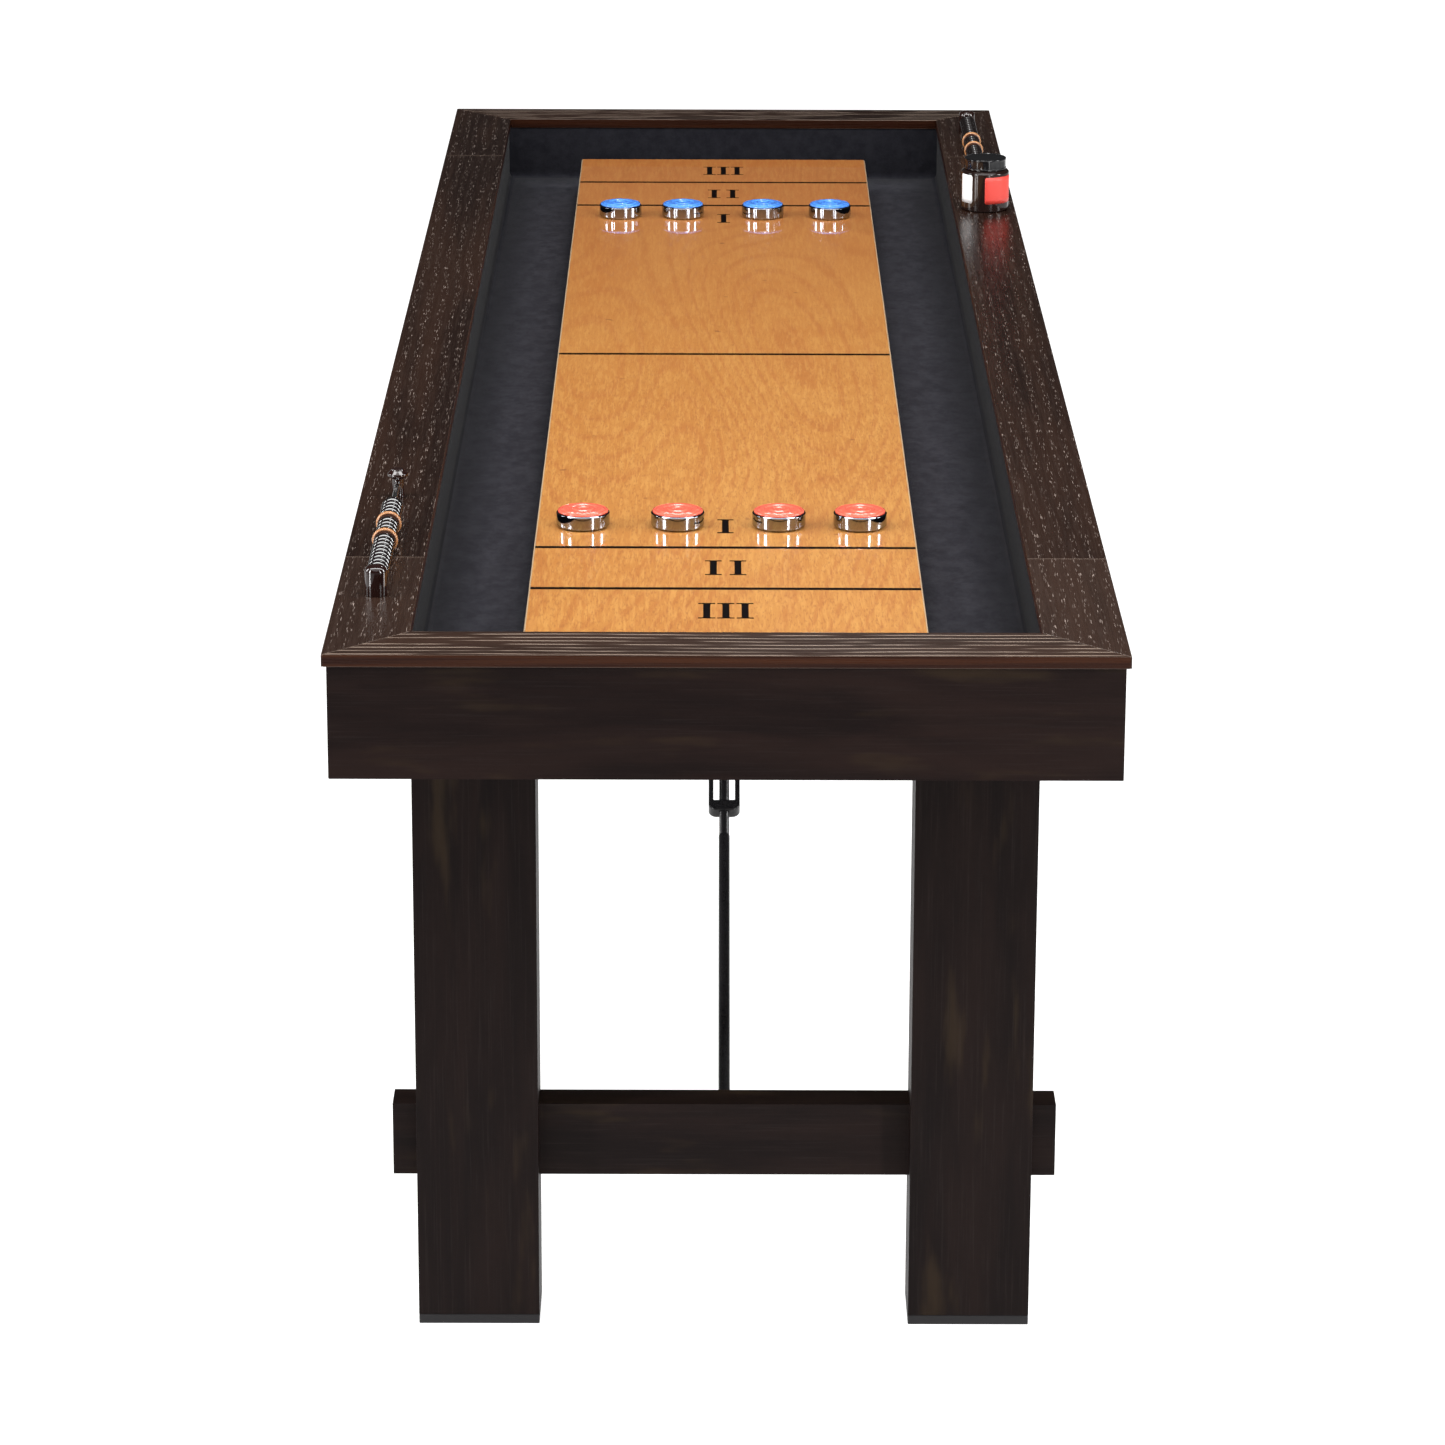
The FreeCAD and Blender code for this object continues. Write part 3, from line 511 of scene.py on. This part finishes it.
def rounded(corners, steps=5):
    """An outline with its corners rounded: each corner is (across, along, radius)."""
    outline = []
    for index, (x, y, radius) in enumerate(corners):
        here = Vector((x, y))
        if radius == 0 or index in (0, len(corners) - 1):
            outline.append(here)
            continue
        before = (Vector(corners[index - 1][:2]) - here).normalized()
        after = (Vector(corners[index + 1][:2]) - here).normalized()
        half = before.angle(after) / 2
        reach = radius / math.tan(half)
        centre = here + (before + after).normalized() * (radius / math.sin(half))
        start = here + before * reach - centre
        end = here + after * reach - centre
        for step in range(steps + 1):
            outline.append(centre + radius * start.slerp(end, step / steps).normalized())
    return outline


def lathe(outline, axis="Z", steps=96, ripple=None):
    """Points and faces of an outline of (radius, height) turned about an axis.

    Where the outline meets the axis it closes in a point. The radius is scaled by
    ripple(radius, height, angle).
    """
    points = []
    for radius, height in outline:
        for step in range(steps):
            angle = 2 * math.pi * step / steps
            reach = radius * (ripple(radius, height, angle) if ripple else 1.0)
            x, y = reach * math.cos(angle), reach * math.sin(angle)
            points.append((x, y, height) if axis == "Z" else (y, height, x))
    faces = []
    for row in range(len(outline) - 1):
        for step in range(steps):
            after = (step + 1) % steps
            a, b = row * steps + step, row * steps + after
            faces.append((a, b, b + steps, a + steps))
    return points, faces


def solid_of_revolution(name, outline, **options):
    """A mesh turned from a closed or axis-to-axis outline, with its doubled points joined."""
    points, faces = lathe(outline, **options)
    mesh = bpy.data.meshes.new(name)
    mesh.from_pydata(points, [], faces)
    mesh = joined(mesh)
    mesh.shade_smooth()
    mesh.set_sharp_from_angle(angle=math.radians(35))
    return mesh


def joined(mesh):
    """Joins points that coincide and makes every face look outwards."""
    shape = bmesh.new()
    shape.from_mesh(mesh)
    bmesh.ops.remove_doubles(shape, verts=shape.verts, dist=0.001 * MM)
    bmesh.ops.recalc_face_normals(shape, faces=shape.faces)
    shape.to_mesh(mesh)
    shape.free()
    return mesh


# ---- Board print and gutter coves -------------------------------------------------------------

def slab(outline, bottom, top):
    """Points and faces of a thin flat shape with a polygonal outline."""
    count = len(outline)
    points = [(x, y, z) for z in (bottom, top) for x, y in outline]
    sides = [(i, (i + 1) % count, (i + 1) % count + count, i + count) for i in range(count)]
    return points, [tuple(reversed(range(count))), tuple(range(count, 2 * count))] + sides


def serif_stroke(centre_x, centre_y):
    """Outline of one upright stroke with bracketed serifs, anticlockwise."""
    quarter = []
    steps = 5
    for step in range(steps + 1):
        angle = math.pi / 2 * step / steps
        quarter.append((STEM_WIDTH / 2 + SERIF_BRACKET * (1 - math.cos(angle)),
                        NUMERAL_HEIGHT / 2 - SERIF_THICK - SERIF_BRACKET * (1 - math.sin(angle))))
    quarter += [(SERIF_WIDTH / 2, NUMERAL_HEIGHT / 2 - SERIF_THICK),
                (SERIF_WIDTH / 2, NUMERAL_HEIGHT / 2)]
    upper_left = [(-x, y) for x, y in reversed(quarter)]
    lower_left = [(-x, -y) for x, y in quarter]
    lower_right = [(x, -y) for x, y in reversed(quarter)]
    return [(centre_x + x, centre_y + y) for x, y in quarter + upper_left + lower_left + lower_right]


def print_on_board(name, outlines):
    """One printed mark: flat black shapes that stand a hair above the board."""
    points, faces = [], []
    top = BOARD_HIGH.z + PRINT_PROUD
    for outline in outlines:
        more_points, more_faces = slab(outline, top - PRINT_THICK, top)
        faces += [tuple(index + len(points) for index in face) for face in more_faces]
        points += more_points
    return new_piece(name, points, faces, "print", "root")


def board_print():
    """Score lines and numerals, the same at both ends of the board."""
    line_x = BOARD_HIGH.x - LINE_END_GAP
    for end, end_name in ((-1, "front"), (1, "back")):
        for number, line_y in enumerate(LINE_PLACES):
            if line_y == 0.0 and end > 0:
                continue
            low, high = end * line_y - LINE_WIDTH / 2, end * line_y + LINE_WIDTH / 2
            outline = [(-line_x, low), (line_x, low), (line_x, high), (-line_x, high)]
            print_on_board(f"score_line_{end_name}_{number}", [outline])
        for strokes, numeral_y in NUMERAL_PLACES.items():
            pitch = NUMERAL_PITCH[strokes]
            first = -pitch * (strokes - 1) / 2
            outlines = [serif_stroke(first + pitch * stroke, end * numeral_y)
                        for stroke in range(strokes)]
            print_on_board(f"numeral_{end_name}_{strokes}", outlines)


COVE_RADIUS = 8 * MM


def gutter_cove():
    """Felt carried round the corner between the gutter's floor and its walls."""
    floor_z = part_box("gutter_floor")[1].z
    steps = 8
    profile = [(0.0, 0.0), (0.0, COVE_RADIUS)]
    for step in range(1, steps + 1):
        angle = math.pi / 2 * step / steps
        profile.append((COVE_RADIUS * (1 - math.cos(angle)), COVE_RADIUS * (1 - math.sin(angle))))
    points, faces = [], []
    for inset, rise in profile:
        x, y, z = GUTTER_WALL.x - inset, GUTTER_WALL.y - inset, floor_z + rise
        points += [(-x, -y, z), (x, -y, z), (x, y, z), (-x, y, z)]
    for row in range(len(profile)):
        after = (row + 1) % len(profile)
        for corner in range(4):
            other = (corner + 1) % 4
            faces.append((row * 4 + corner, row * 4 + other, after * 4 + other, after * 4 + corner))
    cove = new_piece("gutter_cove", points, faces, "felt", "root", sharp=50.0)
    joined(cove.data)


# ---- Pucks ------------------------------------------------------------------------------------

CAP_LOBES = 8
CAP_LOBE_DEPTH = 0.055
CAP_LOBE_RADIUS = 21.6
CAP_LOBE_REACH = 1.6
CAP_OUTLINE = (
    (0.0, 2.5, 0.0), (5.6, 2.5, 0.3), (6.8, 3.5, 0.3), (10.2, 3.5, 0.3), (11.5, 2.4, 0.3),
    (14.4, 2.4, 0.3), (15.7, 3.45, 0.3), (20.4, 3.5, 0.4), (21.9, 2.2, 0.3), (23.3, 2.0, 0.3),
    (24.4, 2.35, 0.3), (26.3, 1.5, 0.8), (26.4, 0.2, 0.3), (25.4, 0.2, 0.0), (25.4, -2.4, 0.2),
    (0.0, -2.4, 0.0),
)


def scaled(outline):
    """An outline in millimetres, rounded and turned into metres."""
    return [point * MM for point in rounded(outline)]


def cap_lobes(radius, height, angle):
    """The crown's outer slope is scalloped."""
    weight = max(0.0, 1.0 - abs(radius / MM - CAP_LOBE_RADIUS) / CAP_LOBE_REACH)
    return 1.0 + CAP_LOBE_DEPTH * weight * math.cos(CAP_LOBES * angle)


def pucks():
    """Chromed bodies and their caps; the four of a colour share their meshes."""
    low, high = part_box("puck_red_1")
    height = (high.z - low.z) / MM
    body_outline = [(0.0, 0.0, 0.0), (25.6, 0.0, 0.8), (28.0, 2.6, 1.2), (28.0, height - 1.1, 0.4),
                    (27.0, height, 0.3), (25.6, height, 0.1), (25.6, height - 2.4, 0.1),
                    (0.0, height - 2.4, 0.0)]
    body_mesh = solid_of_revolution("puck_body", scaled(body_outline), steps=128)
    for colour in ("red", "blue"):
        cap_mesh = solid_of_revolution("puck_cap_" + colour, scaled(CAP_OUTLINE), steps=192,
                                       ripple=cap_lobes)
        for number in range(1, 5):
            name = f"puck_{colour}_{number}"
            low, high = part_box(name)
            middle = (low + high) / 2
            body = place_piece(name + "_turned", body_mesh, "chrome", name,
                               (middle.x, middle.y, low.z))
            cap = place_piece(name + "_moulded_cap", cap_mesh, "cap_" + colour,
                              name, (middle.x, middle.y, high.z))
            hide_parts(name)
            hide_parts(name + "_cap")


# ---- Bead scorers -----------------------------------------------------------------------------

BEAD_GAP = 0.4 * MM
BEAD_COUNTS = {"near": 10, "mid": 6, "far": 5}
BEAD_BORE = 3.1
MARKER_HUB = 8.5
MARKER_SHOULDER = 3.4


def bead_mesh(kind, radius, length):
    """A plain bead is round all over; a marker has a narrower rim standing on a black hub."""
    half = length / 2
    if kind == "marker":
        rim = half - MARKER_SHOULDER
        outline = [(BEAD_BORE, -half, 0.0), (MARKER_HUB, -half, 2.0), (MARKER_HUB, -rim, 0.3),
                   (radius, -rim, rim - 0.1), (radius, rim, rim - 0.1), (MARKER_HUB, rim, 0.3),
                   (MARKER_HUB, half, 2.0), (BEAD_BORE, half, 0.0), (BEAD_BORE, -half, 0.0)]
    else:
        outline = [(BEAD_BORE, -half, 0.0), (radius, -half, half - 0.1), (radius, half, half - 0.1),
                   (BEAD_BORE, half, 0.0), (BEAD_BORE, -half, 0.0)]
    return solid_of_revolution(kind + "_bead", scaled(outline), axis="Y", steps=72)


def beads():
    """Every bead of both scorers, riding with its group."""
    meshes = {}
    for side in ("left", "right"):
        for group, count in BEAD_COUNTS.items():
            node = f"beads_{side}_{group}"
            low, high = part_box(node)
            middle = (low + high) / 2
            pitch = (high.y - low.y + BEAD_GAP) / count
            radius = {"plain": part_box(f"beads_{side}_near")[1].z - middle.z, "marker": high.z - middle.z}
            for index in range(count):
                marker = group == "mid" and index in (0, count - 1)
                kind = "marker" if marker else "plain"
                if kind not in meshes:
                    meshes[kind] = bead_mesh(kind, radius[kind] / MM, (pitch - BEAD_GAP) / MM)
                finish = "bead_marker" if marker else "bead_black"
                place = (middle.x, low.y + (index + 0.5) * pitch - BEAD_GAP / 2, middle.z)
                piece = place_piece(f"{node}_{index + 1}", meshes[kind], finish, node,
                                    place)
                if index == 0:
                    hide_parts(node)


def posts():
    """The plain and the mushroom-headed post of each scorer."""
    outlines = {
        "scorer_plain_posts": [(0, 0, 0), (11, 0, 0.4), (11, 29, 6.0), (5, 29.8, 3.0), (0, 30, 0)],
        "scorer_knob_posts": [(0, 0, 0), (7.0, 0, 0.4), (6.2, 4, 2.0), (5.8, 20.0, 1.5),
                              (10.5, 22.4, 1.2), (10.5, 25.2, 1.6), (6.8, 28.6, 1.0),
                              (6.4, 30, 0.4), (0, 30, 0)],
    }
    for node, outline in outlines.items():
        mesh = solid_of_revolution(node + "_turned", scaled(outline))
        low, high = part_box(node)
        radius = max(point[0] for point in outline) * MM
        places = {"left": (low.x + radius, low.y + radius, low.z),
                  "right": (high.x - radius, high.y - radius, low.z)}
        for side, place in places.items():
            piece = place_piece(f"{node[:-1]}_{side}", mesh, "black_gloss", "root", place)
            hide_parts(node)


# ---- Jar --------------------------------------------------------------------------------------

LID_RIBS = 20
LID_RIB_DEPTH = 0.01
# Each label: first and last angle from the front in degrees, bottom and top in millimetres
LABELS = {
    "label_white": (-75.0, -35.0, 11.6, 48.6),
    "label_red": (-3.0, 84.0, 11.6, 46.6),
}
LABEL_CORNER = 2.5
LABEL_GAP = 0.05
LABEL_THICK = 0.15 * MM


def lid_ribs(radius, height, angle):
    """Rounded grip lobes round the lid's skirt."""
    depth = LID_RIB_DEPTH if 2.0 < height / MM < 11.0 and radius > 26.0 * MM else 0.0
    return 1.0 - depth * (1.0 + math.cos(LID_RIBS * angle))


def jar():
    """The jar, its ribbed lid and its two blank labels."""
    low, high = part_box("jar_body")
    centre = (low + high) / 2
    radius = (high.x - low.x) / 2 / MM
    height = (high.z - low.z) / MM
    lid_low, lid_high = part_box("jar_lid")
    lid_radius = (lid_high.x - lid_low.x) / 2 / MM
    lid_height = (lid_high.z - lid_low.z) / MM
    shoulder = (lid_low.z - low.z) / MM - 1.0
    body_outline = [(0, 1.2, 0), (radius - 5, 1.2, 0.6), (radius - 4, 0, 0.8), (radius, 0, 2.6),
                    (radius, shoulder - 3.0, 2.4), (28.6, shoulder - 0.5, 1.6),
                    (24.6, shoulder, 0.6), (24, height, 0.6), (22, height, 0.6),
                    (22, shoulder - 2, 1.5), (radius - 2, shoulder - 9, 3), (radius - 2, 2.4, 2),
                    (0, 2.4, 0)]
    body_mesh = solid_of_revolution("jar_shell", scaled(body_outline), steps=128)
    body = place_piece("jar_shell", body_mesh, "jar", "jar",
                       (centre.x, centre.y, low.z))
    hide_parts("jar_body")
    lid_outline = [(24.3, 0, 0), (lid_radius, 0, 0.5), (lid_radius, 1.6, 0.4),
                   (lid_radius - 0.5, 2.1, 0.2), (lid_radius - 0.5, 11.2, 0.3),
                   (lid_radius - 0.1, 11.8, 0.3), (lid_radius - 0.1, lid_height - 0.4, 0.9),
                   (lid_radius - 2.2, lid_height, 0.6), (lid_radius - 3.0, lid_height - 0.6, 0.4),
                   (0, lid_height - 0.6, 0), (0, lid_height - 2, 0),
                   (24.3, lid_height - 2, 0.5), (24.3, 0, 0)]
    lid_mesh = solid_of_revolution("jar_cap", scaled(lid_outline), steps=432, ripple=lid_ribs)
    lid = place_piece("jar_cap", lid_mesh, "lid", "jar_lid",
                      (centre.x, centre.y, lid_low.z))
    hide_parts("jar_lid")
    for name, sweep in LABELS.items():
        label(name, sweep, Vector((centre.x, centre.y, low.z)), (radius + LABEL_GAP) * MM)


def label(name, sweep, foot, radius):
    """Plain sticker round part of the jar: angles from the front, heights in millimetres."""
    start, end, bottom, top = sweep
    columns, rows = 48, 6
    width = math.radians(end - start) * radius / MM
    points, faces = [], []
    for column in range(columns + 1):
        share = column / columns
        from_side = min(share, 1 - share) * width
        shrink = 0.0
        if from_side < LABEL_CORNER:
            shrink = LABEL_CORNER - math.sqrt(LABEL_CORNER ** 2 - (LABEL_CORNER - from_side) ** 2)
        angle = math.radians(start + (end - start) * share)
        for row in range(rows + 1):
            rise = bottom + shrink + (top - bottom - 2 * shrink) * row / rows
            points.append((radius * math.sin(angle), -radius * math.cos(angle), rise * MM))
    for column in range(columns):
        for row in range(rows):
            a = column * (rows + 1) + row
            faces.append((a, a + rows + 1, a + rows + 2, a + 1))
    piece = new_piece("jar_" + name, points, faces, name, "jar", foot)
    solid = piece.modifiers.new("paper", "SOLIDIFY")
    solid.thickness = LABEL_THICK
    solid.offset = 1.0


# ---- Tie-rod threads --------------------------------------------------------------------------

THREAD_PITCH = 1.75
THREAD_LOW = 5.02
THREAD_HIGH = 5.4
THREAD_ROOT = 4.52
STUD_SPANS = ((75.5, 112.5), (14.5, 59.5))     # outside and inside the turnbuckle, from its middle


def threads():
    """Thread on the bare studs, outside and inside each turnbuckle's window."""
    for joint in frame["joints"]:
        if not joint["child"].startswith("turnbuckle"):
            continue
        low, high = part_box(joint["child"])
        middle = (low + high) / 2
        turn = Vector((0, 0, 1)).rotation_difference(Vector(joint["axis"])).to_matrix().to_4x4()
        for number, (start, end) in enumerate(STUD_SPANS):
            for way in (-1, 1):
                mesh = thread_mesh(start, end)
                mesh.transform(Matrix.Translation(middle) @ turn @ Matrix.Scale(way, 4, (0, 0, 1)))
                if way < 0:
                    mesh.flip_normals()
                end_name = joint["child"].split("_")[1]
                side = "low" if way < 0 else "high"
                place_piece(f"thread_{end_name}_{side}_{number + 1}", mesh,
                            "black_steel", "root")


def thread_mesh(start, end):
    """A sleeve of ridges one pitch apart, in millimetres along the rod."""
    outline = [(THREAD_ROOT, start, 0)]
    turns = int((end - start) / THREAD_PITCH)
    for index in range(turns):
        base = start + index * THREAD_PITCH
        outline += [(THREAD_LOW, base, 0), (THREAD_HIGH, base + THREAD_PITCH / 2, 0)]
    last = start + turns * THREAD_PITCH
    outline += [(THREAD_LOW, last, 0), (THREAD_ROOT, last, 0), (THREAD_ROOT, start, 0)]
    return solid_of_revolution("thread", scaled(outline), steps=40)


# ---- Stage, lights and camera -----------------------------------------------------------------

FLOOR_HALF = 40.0
# The floor glows under and behind the table, and fades to the sides and in front
POOL_SIDE = 1.85
POOL_FRONT = -1.7
POOL_FADE = 0.8
POOL_GLOW = 0.95
FLOOR_GLOW = 0.34
# Each strip light: angle from the front in degrees, distance, height of its middle, width, length, watts
STRIPS = {
    "strip_left": (-54.0, 4.6, 2.4, 0.45, 3.0, 100.0),
    "strip_right": (36.0, 5.0, 2.4, 0.4, 3.0, 90.0),
    "strip_far_right": (80.0, 4.6, 2.4, 0.9, 3.0, 150.0),
    "strip_far_left": (-92.0, 4.6, 2.4, 0.9, 3.0, 120.0),
    "strip_low_left": (-44.2, 2.94, 0.86, 0.16, 1.6, 22.0),
    "strip_low_right": (29.6, 2.59, 0.86, 0.12, 1.6, 9.0),
}
WORLD_GREY = 0.035


def pale_floor():
    """A plain matt floor that glows white round the table."""
    half = FLOOR_HALF
    points = [(-half, -half, 0.0), (half, -half, 0.0), (half, half, 0.0), (-half, half, 0.0)]
    mesh = bpy.data.meshes.new("floor")
    mesh.from_pydata(points, [], [(0, 1, 2, 3)])
    floor = bpy.data.objects.new("floor", mesh)
    bpy.context.scene.collection.objects.link(floor)
    paper = Finish("floor_paper", Base_Color=(0.35, 0.35, 0.35), Roughness=0.9,
                   Specular_IOR_Level=0.0, Emission_Color=(1.0, 1.0, 1.0))
    across = paper.step(paper.math("ABSOLUTE", paper.axis(0)), POOL_SIDE + POOL_FADE, POOL_SIDE)
    along = paper.step(paper.axis(1), POOL_FRONT - POOL_FADE, POOL_FRONT)
    pool = paper.math("MULTIPLY", across, along)
    paper.set("Emission_Strength", paper.math("MULTIPLY_ADD", pool, POOL_GLOW - FLOOR_GLOW, FLOOR_GLOW))
    mesh.materials.append(paper.material)


def area_light(name, place, aim, width, length, watts):
    light = bpy.data.lights.new(name, "AREA")
    light.shape = "RECTANGLE"
    light.size = width
    light.size_y = length
    light.energy = watts
    lamp = bpy.data.objects.new(name, light)
    bpy.context.scene.collection.objects.link(lamp)
    lamp.location = place
    lamp.rotation_euler = (Vector(aim) - Vector(place)).to_track_quat("-Z", "Y").to_euler()


def lights():
    area_light("overhead", (0.0, -0.95, 3.3), (0.0, -0.3, 0.75), 5.0, 0.8, 113.0)
    area_light("scorer_light", (0.2, 1.0, 2.3), (0.3, 1.0, 0.75), 0.7, 0.15, 4.5)
    for name, (angle, distance, height, width, length, watts) in STRIPS.items():
        turn = math.radians(angle)
        place = (distance * math.sin(turn), -distance * math.cos(turn), height)
        area_light(name, place, (0.0, 0.0, 1.2), width, length, watts)
    sun = bpy.data.lights.new("soft_sky", "SUN")
    sun.energy = 1.2
    sun.angle = math.radians(70)
    lamp = bpy.data.objects.new("soft_sky", sun)
    bpy.context.scene.collection.objects.link(lamp)
    lamp.rotation_euler = (math.radians(20), 0.0, 0.0)


def backdrop():
    world = bpy.data.worlds.new("studio")
    world.use_nodes = True
    sky = world.node_tree.nodes["Background"].inputs
    sky["Color"].default_value = (WORLD_GREY, WORLD_GREY, WORLD_GREY, 1.0)
    sky["Strength"].default_value = 1.0
    bpy.context.scene.world = world
    bpy.context.scene.view_settings.view_transform = "Standard"


def camera():
    lens = bpy.data.cameras.new("camera")
    lens.sensor_width = CAMERA_SENSOR_MM
    lens.lens = CAMERA_LENS_MM
    view = bpy.data.objects.new("camera", lens)
    bpy.context.scene.collection.objects.link(view)
    turn = Matrix.Rotation(CAMERA_YAW, 4, "Z") @ Matrix.Rotation(math.pi / 2 - CAMERA_PITCH, 4, "X")
    view.matrix_world = Matrix.Translation(CAMERA_PLACE) @ turn @ Matrix.Rotation(CAMERA_ROLL, 4, "Z")
    bpy.context.scene.camera = view


camera()
finish_cad_nodes()
board_print()
gutter_cove()
pucks()
beads()
posts()
jar()
threads()
pale_floor()
lights()
backdrop()
